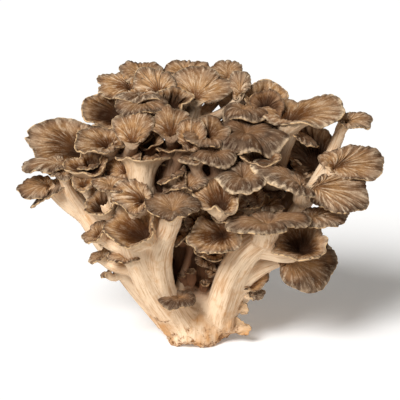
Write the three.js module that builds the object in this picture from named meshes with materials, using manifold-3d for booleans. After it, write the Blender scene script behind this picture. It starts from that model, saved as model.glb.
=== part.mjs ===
// Maitake mushroom: one cut butt, the stems that branch from it, and the fan-shaped caps they carry.
// Millimetres, +Z up, front towards -Y. The origin is the centre of the flat cut that it stands on.
import * as THREE from 'three';
import Module from 'manifold-3d';

const wasm = await Module();
wasm.setup();

// Driving dimensions
const cutRadius = 15; // flat cut under the butt, half its width
const cutCorners = 0.16; // how far the corners of the cut stand out past a circle, as a share
const marginThickness = 1.0; // flesh at the edge of a cap
const neckBase = 1.5; // neck radius of a frond is neckBase + neckShare * half-width of its cap
const neckShare = 0.16;
const fit = 0.5; // clearance between a cap and whatever is next to it
const fullness = 1.02; // reach of a margin's corners, as a share of its plain ellipse
const blend = 0.3; // how far a joined surface may move to lose its slivers
const largeCap = 12.5; // half-width from which a cap has the most sides
const smallCap = 7.5; // half-width below which it has the fewest
const capSides = { most: 13, middle: 9, fewest: 6 };
const ownNode = 82; // half-width x half-length from which a cap is a node of its own, mm2
const cupAngle = 65; // angle in degrees by which a full bowl's wall turns up at its margin
const bowlSpread = 1.6; // how far a bowl's wall leans out where it leaves the stem
const degrees = Math.PI / 180;

// Routes of the main branches: x, y, z and radius
const branches = {
  left: [[-9, -2, 12, 11], [-30, -6, 36, 9], [-50, -9, 62, 7], [-66, -9, 84, 4]],
  leftFront: [[-9, -11, 12, 9], [-22, -25, 36, 8], [-32, -35, 60, 6], [-38, -36, 78, 3.5]],
  centre: [[-5, -12, 12, 8], [-15.5, -25, 36, 5.5], [-18.5, -33, 58, 7.5], [-13, -39, 75, 5.5]],
  midFront: [[6, -4, 12, 8], [9, -6, 40, 7], [12, -20, 66, 6], [17, -28, 92, 3.5]],
  right: [[13, -7, 12, 9], [17.5, -17, 32, 8.5], [21.5, -24, 46, 8], [29, -30, 60, 8], [38, -33, 68, 7]],
  farRight: [[13, -2, 14, 9], [33, -9, 42, 8], [52, -13, 68, 6], [64, -14, 88, 3.5]],
  lowRight: [[15, -8, 16, 8], [24, -16, 36, 7], [36, -19, 47, 6], [47, -19, 50, 3]],
  topLeft: [[-8, 4, 14, 10], [-24, -2, 48, 8], [-36, -6, 84, 6], [-43, -6, 108, 3.5]],
  topMiddle: [[0, 4, 14, 10], [-3, -3, 50, 8], [-6, -4, 88, 6], [-5, 1, 116, 3.5]],
  topRight: [[8, 5, 14, 10], [22, 2, 50, 8], [40, 0, 86, 6], [50, 0, 108, 3.5]],
  backLeft: [[-8, 9, 14, 10], [-26, 22, 46, 8], [-42, 33, 76, 6], [-47, 36, 94, 3.5]],
  back: [[0, 11, 14, 10], [0, 28, 48, 8], [0, 41, 80, 6], [0, 44, 100, 3.5]],
  backRight: [[8, 9, 14, 10], [28, 22, 46, 8], [45, 33, 76, 6], [52, 36, 94, 3.5]],
  core: [[2, 8, 14, 18], [1, 13, 45, 20], [0, 12, 78, 24], [0, 8, 106, 14]],
};

// Fronds of each branch. Each row: where it leaves the branch (0 foot, 1 tip); centre of its mouth x, y, z;
// tilt of the mouth from level and the heading it tilts to, in degrees (-90 is the front, 0 the right);
// half-width across the heading and half-length along it; seat of the neck along and across the heading, as
// shares of those; depth of the neck below the mouth; cup (1 a bowl, 0 a flat trumpet, -1 a hood); height of the
// frill; neck radius where it is not usual.
const fronds = {
  left: [
    [0.95, -68, -8, 113, 48, -115, 27, 16, 0.1, 0.1, 14, 0.7, 1.2],
    [0.9, -79, -12, 102, 12, -110, 14.5, 9, -0.2, 0.6, 5, -0.2, 1.2],
    [0.72, -86, -10, 89, 35, -110, 9.5, 9, -0.2, 0.9, 3, 0.1, 0.8],
    [0.8, -69, -20, 99, 15, -100, 8, 6.5, 0, 0, 5, -0.5, 0.8],
    [0.42, -47, -14, 42, 40, 180, 4, 4.5, 0, 0, 4, 0, 0.4],
  ],
  leftFront: [
    [0.95, -57, -26, 106, 30, -100, 11.5, 9.5, 0, 0.3, 12, 0.8, 0.8],
    [0.85, -58, -31, 97, 30, -110, 7, 7, 0, 0, 7, 0.5, 0.6],
    [0.95, -43, -36, 97, 20, -95, 10, 8, 0, 0, 6, 0, 0.8],
    [0.85, -49, -39, 88, 38, -115, 9.5, 8.5, 0, 0.2, 12, 0.8, 0.6],
    [0.9, -32, -45, 93, 50, -95, 10.5, 10, 0.3, 0.5, 6, 0.3, 0.9],
    [0.7, -33, -50, 79, 38, -105, 14.5, 13.5, 0, 0.4, 14, 0.8, 0.9],
    [0.6, -52, -36, 71, 40, -140, 7, 8.5, 0, 0.2, 7, 0.4, 0.7],
    [0.45, -50, -28, 56, 30, -150, 6, 7, 0, 0.2, 5, 0, 0.5],
    [0.5, -37, -38, 58, 25, -110, 8, 6, 0, 0.4, 5, 0, 0.6],
  ],
  topLeft: [
    [0.95, -49, -4, 131, 48, -100, 11.5, 12, 0, 0.6, 14, 0.9, 0.8],
    [0.95, -41, 8, 142, 35, -100, 12.5, 10.5, 0.2, 0.5, 6, 0.2, 1.2],
    [0.9, -29, 17, 148, 30, -80, 11, 10, 0.6, 0, 5, 0.1, 1],
    [0.9, -22, 8, 144, 45, -90, 11, 10.5, 0.9, 0.2, 4, 0.2, 1],
    [0.85, -29, -4, 137, 10, -90, 12, 5.5, -0.5, 0, 3, -0.4, 1.2],
    [0.85, -28, -9, 134, 20, -95, 14, 9.5, -0.3, 0, 5, -0.2, 1.2],
    [0.8, -32, -22, 125, 50, -95, 10.5, 10.5, 0.95, 0, 3, 0.3, 1],
    [0.75, -50, -22, 118, 28, -80, 13, 12, 0, 0.5, 10, 0.5, 1.2],
  ],
  topMiddle: [
    [0.9, -11, -4, 137, 35, -90, 10, 9.5, 0, 0, 13, 0.9, 0.6],
    [0.95, -12, 14, 142, 40, -80, 7.5, 8.5, 0.5, 0, 5, 0.2, 0.7],
    [0.8, -12, -18, 127, 44, -85, 11, 10.5, 0.9, 0, 3, 0.2, 0.9],
    [0.95, 4, 10, 142, 50, -90, 17, 11.5, 0.95, -0.2, 3, 0.1, 1.2],
    [0.95, -3, 22, 147, 40, -90, 12, 10, 0.6, 0, 4, 0.2, 0.9],
    [0.95, 18, 24, 147, 40, -90, 8.5, 8.5, 0.6, 0, 4, 0, 0.7],
    [0.95, 25, 12, 142, 50, -100, 6, 9, 0.9, 0, 3, 0, 0.8],
    [0.75, -1, -26, 122, 45, -100, 8.5, 10, 0.8, 0, 4, 0.4, 0.8],
  ],
  centre: [
    [0.7, -27, -32, 109.5, 8, 90, 14.5, 12, 0, 0, 14, 0.1, 0.9, 6.5],
    [0.8, -8, -26, 112.5, 10, 80, 11.5, 9, 0, 0.3, 14, 0.1, 0.8, 4.5],
    [0.9, -12, -35, 100, 22, 180, 6.5, 7.5, 0, 0, 5, 0, 0.5],
    [0.85, -11, -50, 89, 24, -90, 13.5, 12.5, 0.1, 0, 7, -0.1, 0.6, 5.5],
    [0.3, -9, -30, 31.5, 32, -80, 9.5, 7, -0.6, 0, 4, -0.2, 0.8],
  ],
  midFront: [
    [0.9, 2, -34, 110, 8, -90, 9.5, 6.5, 0, 0, 7, -0.1, 0.6],
    [0.95, 11, -34, 112, 20, -90, 11.5, 9.5, -0.3, 0, 5, -0.5, 1.2],
    [0.95, 20, -27, 114, 5, -90, 9, 7, 0, 0, 4, -0.2, 0.8],
    [0.85, 26, -42, 102, 30, -85, 13, 11, -0.3, 0, 8, -0.5, 1.6],
    [0.7, 29, -29, 89, 42, -80, 9.5, 9, 0.4, 0, 8, 0.7, 0.8],
    [0.75, 12.5, -43, 93.5, 34, -88, 13, 12.5, 0.4, 0.15, 10, 0.6, 1],
    [0.55, 12, -44, 72, 50, -85, 14.5, 12, -0.1, 0.3, 8, 0.4, 1.6],
  ],
  topRight: [
    [0.95, 39, 6, 134, 60, -90, 12.5, 12.5, 0.5, 0, 14, 0.9, 0.6],
    [0.9, 28, -4, 129, 15, -90, 12.5, 9.5, -0.4, 0, 4, -0.5, 1.2],
    [0.85, 30, -20, 119, 20, -85, 21, 15, -0.4, 0, 6, -0.4, 1.8],
    [0.8, 36, -32, 112, 22, -80, 10.5, 10, 0, 0, 11, 0.8, 0.6],
    [0.95, 60, -3, 131, 25, -85, 22, 14.5, 0.4, -0.4, 10, 0.35, 0.9, 5.5],
  ],
  farRight: [
    [0.9, 88, 0, 124, 30, -85, 9.5, 7.5, 0, -0.9, 3, 0, 0.7],
    [0.95, 87, -10, 103, 40, -80, 17, 12.5, 0.3, -0.75, 4, 0.1, 1.4],
    [0.85, 79, -24, 90, 40, -70, 17.5, 14, -0.3, -0.85, 4, 0, 1.8],
    [0.85, 46, -37, 101, 24, -25, 10.5, 20, 0.6, -0.2, 5, -0.5, 1],
    [0.7, 70, -28, 77, 25, -85, 13, 9, -0.2, -0.6, 4, -0.2, 1.2],
    [0.55, 63, 2, 108, 72, -85, 14.5, 16, 0.8, 0.2, 6, 0.6, 0.6],
  ],
  right: [
    [0.95, 39, -44, 79, 12, -80, 23, 11, -0.2, 0, 8, -0.2, 1.2, 7],
    [0.75, 56.5, -40, 67.5, 35, -80, 16.2, 13.2, -0.1, 0, 12.5, 0.6, 1.2],
  ],
  lowRight: [
    [0.95, 61, -23, 51.5, 60, -75, 18, 16, -0.15, -0.65, 4, -0.1, 1.2],
    [0.55, 33.5, -20, 39, 65, -80, 7.4, 6, 0.6, -0.8, 3, 0.3, 0.4],
    [0.35, 34.5, -19, 31, 65, -80, 4.8, 3.3, 0.1, -0.9, 2, -0.1, 0.3],
    [0.2, 25.5, -13, 21.5, 76, 62, 5.2, 4.6, 0.1, 0.7, 2.5, 0, 0.5],
    [0.1, 25, -12, 10, 76, 62, 6.8, 5.4, 0.2, 0.7, 2.5, 0, 0.5],
  ],
  backLeft: [],
  back: [],
  backRight: [],
  core: [
    [0.15, -1.5, -19.5, 44, 22, -85, 3.6, 2.8, 0, 0, 8, 0.9, 0.4],
    [0.12, -6.5, -20, 42, 30, -110, 2.7, 2.4, 0, 0, 7, 0.8, 0.4],
    [0.2, 6.5, -18, 37, 35, -70, 3, 2.6, 0, 0, 5, 0.6, 0.4],
  ],
};

// Tiers of fronds round the back: how many, from which heading to which, distance out, height, tilt,
// half-width, half-length
const tiers = [
  [3, 35, 145, 50, 62, 35, 15, 14],
  [5, 12, 168, 72, 88, 30, 19, 17],
  [4, 24, 156, 58, 114, 30, 18, 16],
  [2, 60, 120, 36, 133, 25, 17, 14],
];

// A repeatable draw between 0 and 1.
function draw(number, which) {
  const value = Math.sin(number * 12.9898 + which * 78.233) * 43758.5453;
  return value - Math.floor(value);
}

// The fronds of the tiers, each on the back branch nearest to it.
function addTiers() {
  let number = 200;
  for (const [count, first, last, out, height, tilt, wide, long] of tiers) {
    for (let i = 0; i < count; i++) {
      number += 1;
      const heading = first + ((last - first) * (i + 0.6 * (draw(number, 1) - 0.5))) / (count - 1);
      const reach = out * (0.9 + 0.2 * draw(number, 2));
      const size = 0.8 + 0.4 * draw(number, 3);
      const x = reach * Math.cos(heading * degrees);
      const y = 0.85 * reach * Math.sin(heading * degrees);
      const z = height + 10 * (draw(number, 4) - 0.5);
      const branch = heading < 65 ? 'backRight' : heading > 115 ? 'backLeft' : 'back';
      const leaves = height / 115 - 0.25;
      fronds[branch].push([leaves, x, y, z, tilt + 20 * (draw(number, 5) - 0.5), heading,
        wide * size, long * size, -0.7 + 0.5 * draw(number, 6), 0, 6 + 4 * draw(number, 7),
        0.9 * draw(number, 8) - 0.4, 1.4]);
    }
  }
}

// A branch as a smooth curve with its radius at each share of its length.
function openBranch(rows) {
  const curve = new THREE.CatmullRomCurve3(rows.map(([x, y, z]) => new THREE.Vector3(x, y, z)));
  const radiusAt = (share) => {
    const place = share * (rows.length - 1);
    const low = Math.min(Math.floor(place), rows.length - 2);
    return THREE.MathUtils.lerp(rows[low][3], rows[low + 1][3], place - low);
  };
  return { curve, radiusAt };
}

// Directions, mouth, neck and stem route of one frond.
function openFrond(row, number, branch) {
  const [at, x, y, z, tilt, toward, wide, long, seatAhead, seatAcross, deep, cup, frill] = row;
  const neck = row[13] ?? neckBase + neckShare * wide;
  const lean = tilt * degrees;
  const heading = toward * degrees;
  const flat = new THREE.Vector3(Math.cos(heading), Math.sin(heading), 0);
  const top = new THREE.Vector3(0, 0, 1);
  const up = flat.clone().multiplyScalar(Math.sin(lean)).addScaledVector(top, Math.cos(lean));
  const ahead = flat.clone().multiplyScalar(Math.cos(lean)).addScaledVector(top, -Math.sin(lean));
  const across = up.clone().cross(ahead);
  const mouth = new THREE.Vector3(x, y, z);
  const below = mouth.clone().addScaledVector(ahead, seatAhead * long).addScaledVector(across, seatAcross * wide);
  const throat = below.clone().addScaledVector(up, -deep);
  const root = branch.curve.getPoint(at);
  const rise = throat.clone().sub(root).normalize();
  const axis = rise.clone().add(up).normalize();
  const turned = new THREE.Quaternion().setFromUnitVectors(up, axis);
  const leaving = branch.curve.getTangent(at).add(rise).normalize();
  const hold = 0.38 * throat.distanceTo(root);
  const route = new THREE.CubicBezierCurve3(root, root.clone().addScaledVector(leaving, hold),
    throat.clone().addScaledVector(axis, -hold), throat.clone().addScaledVector(axis, -fit));
  const rootRadius = Math.min(1.5 * neck, 0.85 * branch.radiusAt(at));
  return { number, wide, long, deep, cup, frill, neck, up, ahead, across, mouth, below, throat, axis, route,
    rootRadius, neckAhead: ahead.clone().applyQuaternion(turned),
    neckAcross: across.clone().applyQuaternion(turned) };
}

// How far the margin reaches at a turn round the mouth, as a share of the plain ellipse.
function lobes(frond, turn) {
  const phase = (which) => 2 * Math.PI * draw(frond.number, which);
  return fullness + 0.07 * Math.sin(2 * turn + phase(11)) + 0.06 * Math.sin(3 * turn + phase(12))
    + 0.05 * Math.sin(5 * turn + phase(13));
}

// How high the frill stands at a turn round the mouth.
function frillAt(frond, turn) {
  const phase = (which) => 2 * Math.PI * draw(frond.number, which);
  return frond.frill * (0.7 * Math.sin(3 * turn + phase(14)) + 0.5 * Math.sin(5 * turn + phase(15)));
}

// Points under and above the flesh, at a turn round the cap and a share s of the way from neck to margin.
function flesh(frond, turn, s, swell) {
  const { neck, up, axis, throat, mouth, below } = frond;
  const spoke = frond.neckAhead.clone().multiplyScalar(Math.cos(turn))
    .addScaledVector(frond.neckAcross, Math.sin(turn));
  const start = throat.clone().addScaledVector(spoke, neck + swell);
  const ray = frond.ahead.clone().multiplyScalar(Math.cos(turn) * frond.long)
    .addScaledVector(frond.across, Math.sin(turn) * frond.wide).multiplyScalar(lobes(frond, turn));
  const level = ray.clone().normalize();
  const end = mouth.clone().add(ray).addScaledVector(level, swell);
  level.add(end.clone().sub(below).normalize()).normalize();
  const bend = frond.cup * cupAngle * degrees;
  const outward = level.clone().multiplyScalar(Math.cos(bend)).addScaledVector(up, Math.sin(bend));
  const leave = axis.clone().addScaledVector(level, bowlSpread * Math.max(frond.cup, 0)).normalize();
  const span = end.distanceTo(start);
  const first = start.clone().addScaledVector(leave, Math.min(0.45 * span, 0.9 * frond.deep + 0.3 * neck));
  const second = end.clone().addScaledVector(outward, -0.4 * span);
  const under = new THREE.CubicBezierCurve3(start, first, second, end).getPoint(s);
  under.addScaledVector(up, frillAt(frond, turn) * s ** 2.5);
  const ease = s * s * (3 - 2 * s);
  const inward = throat.clone().addScaledVector(axis, 0.4 * neck).sub(start).multiplyScalar(1 - ease)
    .addScaledVector(up, marginThickness * ease);
  const above = under.clone().add(inward);
  const away = inward.normalize().multiplyScalar(swell);
  return [under.sub(away), above.add(away)];
}

// A closed skin over rings of points, each ring turning the same way. From the ring 'mirrored' on, the
// quads are split along the other diagonal.
function skin(rings, firstTip, lastTip, mirrored = Infinity) {
  const sides = rings[0].length;
  const points = [...rings.flat(), firstTip, lastTip];
  const faces = [];
  for (let i = 0; i < sides; i++) {
    const next = (i + 1) % sides;
    faces.push(points.length - 2, next, i);
    for (let ring = 0; ring + 1 < rings.length; ring++) {
      const [a, b] = [ring * sides + i, ring * sides + next];
      const [c, d] = [b + sides, a + sides];
      faces.push(...(ring < mirrored ? [a, b, c, a, c, d] : [a, b, d, b, c, d]));
    }
    const last = (rings.length - 1) * sides;
    faces.push(points.length - 1, last + i, last + next);
  }
  const vertProperties = new Float32Array(points.flatMap((p) => [p.x, p.y, p.z]));
  return new wasm.Manifold(new wasm.Mesh({ numProp: 3, vertProperties, triVerts: new Uint32Array(faces) }));
}

// The cap of one frond as a solid, 'swell' larger all over.
function capSolid(frond, swell = 0) {
  const size = Math.max(frond.wide, frond.long);
  const sides = size >= largeCap ? capSides.most : size >= smallCap ? capSides.middle : capSides.fewest;
  const shares = size >= smallCap ? [0, 0.5, 1] : [0, 1];
  const ring = (s, face) => Array.from({ length: sides },
    (_, i) => flesh(frond, (2 * Math.PI * i) / sides, s, swell)[face]);
  const under = shares.map((s) => ring(s, 0));
  const above = shares.slice(1).reverse().map((s) => ring(s, 1));
  const foot = frond.throat.clone().addScaledVector(frond.axis, -swell);
  under[0].forEach((p) => p.addScaledVector(frond.axis, -swell));
  const dish = frond.throat.clone().addScaledVector(frond.axis, 0.4 * frond.neck + swell);
  return skin([...under, ...above], foot, dish, shares.length);
}

// A tube with closed ends along a curve, its radius given at each share of the length.
function tubeSolid(curve, radiusAt, steps, sides) {
  const rings = [];
  const side = new THREE.Vector3(0, 1, 0);
  for (let step = 0; step <= steps; step++) {
    const share = step / steps;
    const along = curve.getTangent(share);
    side.addScaledVector(along, -side.dot(along)).normalize();
    const other = along.clone().cross(side);
    const centre = curve.getPoint(share);
    rings.push(Array.from({ length: sides }, (_, i) => {
      const turn = (2 * Math.PI * i) / sides;
      return centre.clone().addScaledVector(side, radiusAt(share) * Math.cos(turn))
        .addScaledVector(other, radiusAt(share) * Math.sin(turn));
    }));
  }
  return skin(rings, curve.getPoint(0), curve.getPoint(1));
}

function stemSolid(frond, swell = 0) {
  const radiusAt = (share) => swell + THREE.MathUtils.lerp(frond.rootRadius, frond.neck, share);
  return tubeSolid(frond.route, radiusAt, 2, 5);
}

function branchSolid(branch, swell = 0) {
  return tubeSolid(branch.curve, (share) => branch.radiusAt(share) + swell, 4, 7);
}

// The butt: a lump with a flat cut under it, wider to the right.
function buttSolid(swell = 0) {
  // height, half-width, and depth as a share of the width
  const profile = [[0, cutRadius, 1.3], [3, 17.5, 1.2], [9, 20.5, 1.02], [18, 22.5, 0.88], [27, 17, 0.85],
    [32, 10, 0.85]];
  const sides = 18;
  const rings = profile.map(([height, radius, depth], level) => Array.from({ length: sides }, (_, i) => {
    const turn = (2 * Math.PI * i) / sides;
    const corners = 1 + (cutCorners / (1 + level)) * 0.5 * (1 - Math.cos(4 * turn));
    const lump = level ? 0.07 * Math.sin(3 * turn + level) + 0.05 * Math.sin(5 * turn + 2 * level) : 0;
    const shift = level ? 2 : 0;
    const reach = radius * (corners + lump) + swell;
    return new THREE.Vector3(shift + reach * Math.cos(turn), depth * reach * Math.sin(turn), height);
  }));
  return skin(rings, new THREE.Vector3(0, 0, 0), new THREE.Vector3(2, 0, 34 + swell));
}

function join(solids) {
  return solids.reduce((sum, solid) => sum.add(solid));
}

// The largest of the bodies left by a cut.
function largestBody(solid) {
  return solid.decompose().reduce((best, body) => (body.volume() > best.volume() ? body : best));
}

function near(a, b) {
  const [p, q] = [a.boundingBox(), b.boundingBox()];
  return [0, 1, 2].every((k) => p.min[k] < q.max[k] && q.min[k] < p.max[k]);
}

function meshOf(solid, name, material) {
  const { vertProperties, triVerts } = solid.getMesh();
  const geometry = new THREE.BufferGeometry();
  geometry.setAttribute('position', new THREE.BufferAttribute(vertProperties, 3));
  geometry.setIndex(new THREE.BufferAttribute(triVerts, 1));
  geometry.computeVertexNormals();
  const mesh = new THREE.Mesh(geometry, material);
  mesh.name = name;
  return mesh;
}

function stemMaterial() {
  return new THREE.MeshStandardMaterial({ color: 0xe2d0b0, roughness: 0.75, metalness: 0 });
}

// Cap skins run from tan to grey-brown.
function capMaterial(number) {
  const color = new THREE.Color(0x9c7a55).lerp(new THREE.Color(0x7d664c), draw(number, 21));
  return new THREE.MeshStandardMaterial({ color, roughness: 0.85, metalness: 0 });
}

function buildMushroom() {
  addTiers();
  const open = [];
  const trunks = Object.values(branches).map(openBranch);
  Object.keys(branches).forEach((name, b) => fronds[name].forEach((row, i) => {
    open.push({ name: `cap_${name}_${i + 1}`, ...openFrond(row, 20 * b + i + 1, trunks[b]) });
  }));
  const isOwn = (frond) => frond.wide * frond.long >= ownNode;
  const small = open.filter((frond) => !isOwn(frond));
  const stemParts = (swell) => [buttSolid(swell), ...trunks.map((branch) => branchSolid(branch, swell)),
    ...open.map((frond) => stemSolid(frond, swell))];
  const sunk = (frond, swell) => {
    const low = { ...frond, throat: frond.throat.clone().addScaledVector(frond.axis, -2 * fit) };
    return capSolid(low, swell);
  };
  const stems = join([...stemParts(0), ...small.map((frond) => sunk(frond, 0))]);

  const group = new THREE.Group();
  const made = [largestBody(stems.simplify(blend))];
  group.add(meshOf(made[0], 'stems', stemMaterial()));
  // Caps nearer the front are whole, and those behind stop short of them.
  const kept = [...stemParts(fit), ...small.map((frond) => sunk(frond, fit))];
  for (const frond of open.filter(isOwn).sort((a, b) => a.mouth.y - b.mouth.y)) {
    let cap = capSolid(frond);
    for (const other of kept) if (near(cap, other)) cap = cap.subtract(other);
    cap = cap.simplify(blend);
    for (const other of made) if (near(cap, other)) cap = cap.subtract(other);
    cap = largestBody(cap);
    group.add(meshOf(cap, frond.name, capMaterial(frond.number)));
    made.push(cap);
    kept.push(join([capSolid(frond), capSolid(frond, fit)]));
  }
  return group;
}

export default buildMushroom();
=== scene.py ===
import math
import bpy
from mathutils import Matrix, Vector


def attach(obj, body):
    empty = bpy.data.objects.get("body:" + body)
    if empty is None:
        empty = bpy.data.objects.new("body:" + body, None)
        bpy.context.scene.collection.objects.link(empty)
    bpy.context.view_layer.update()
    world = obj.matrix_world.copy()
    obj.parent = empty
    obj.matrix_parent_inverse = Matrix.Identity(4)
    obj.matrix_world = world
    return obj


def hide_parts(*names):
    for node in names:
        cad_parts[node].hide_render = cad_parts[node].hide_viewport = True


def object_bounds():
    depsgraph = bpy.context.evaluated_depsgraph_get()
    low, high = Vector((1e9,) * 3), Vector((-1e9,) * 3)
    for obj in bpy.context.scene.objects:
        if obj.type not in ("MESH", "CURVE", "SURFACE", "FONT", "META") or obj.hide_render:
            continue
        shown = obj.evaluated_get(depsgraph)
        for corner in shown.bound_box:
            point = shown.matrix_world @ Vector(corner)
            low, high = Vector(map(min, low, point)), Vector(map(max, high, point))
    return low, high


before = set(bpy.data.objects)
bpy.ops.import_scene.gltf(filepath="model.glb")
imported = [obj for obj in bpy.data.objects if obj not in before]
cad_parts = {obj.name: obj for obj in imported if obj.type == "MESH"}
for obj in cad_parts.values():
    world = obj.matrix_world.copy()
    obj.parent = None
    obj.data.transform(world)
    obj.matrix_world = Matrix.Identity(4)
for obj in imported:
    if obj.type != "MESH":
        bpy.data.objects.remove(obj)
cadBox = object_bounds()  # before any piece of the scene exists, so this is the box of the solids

from types import SimpleNamespace

import bpy
import numpy as np

# A head of maitake: pale stems that branch from one cut butt, with brown fans, spoons and funnels at their
# ends. Shapes are worked out in millimetres, in the frame of the solids, and turned to metres in each mesh.
metresPerMm = 0.001
fullTurn = 2 * math.pi

# Routes of the main branches: x, y, z and radius, mm
branchRoutes = {
    "left": [(-9, -2, 12, 11), (-30, -6, 36, 9), (-50, -9, 62, 7), (-66, -9, 84, 4)],
    "leftFront": [(-9, -11, 12, 9), (-22, -25, 36, 8), (-32, -35, 60, 6), (-38, -36, 78, 3.5)],
    "centre": [(-5, -12, 12, 8), (-15.5, -25, 36, 5.5), (-18.5, -33, 58, 7.5), (-13, -39, 75, 5.5)],
    "midFront": [(6, -4, 12, 8), (9, -6, 40, 7), (12, -20, 66, 6), (17, -28, 92, 3.5)],
    "right": [(13, -7, 12, 9), (17.5, -17, 32, 8.5), (21.5, -24, 46, 8), (29, -30, 60, 8), (38, -33, 68, 7)],
    "farRight": [(13, -2, 14, 9), (33, -9, 42, 8), (52, -13, 68, 6), (64, -14, 88, 3.5)],
    "lowRight": [(15, -8, 16, 8), (24, -16, 36, 7), (36, -19, 47, 6), (47, -19, 50, 3)],
    "topLeft": [(-8, 4, 14, 10), (-24, -2, 48, 8), (-36, -6, 84, 6), (-43, -6, 108, 3.5)],
    "topMiddle": [(0, 4, 14, 10), (-3, -3, 50, 8), (-6, -4, 88, 6), (-5, 1, 116, 3.5)],
    "topRight": [(8, 5, 14, 10), (22, 2, 50, 8), (40, 0, 86, 6), (50, 0, 108, 3.5)],
    "backLeft": [(-8, 9, 14, 10), (-26, 22, 46, 8), (-42, 33, 76, 6), (-47, 36, 94, 3.5)],
    "back": [(0, 11, 14, 10), (0, 28, 48, 8), (0, 41, 80, 6), (0, 44, 100, 3.5)],
    "backRight": [(8, 9, 14, 10), (28, 22, 46, 8), (45, 33, 76, 6), (52, 36, 94, 3.5)],
    "core": [(2, 8, 14, 18), (1, 13, 45, 20), (0, 12, 78, 24), (0, 8, 106, 14)],
}

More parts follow.
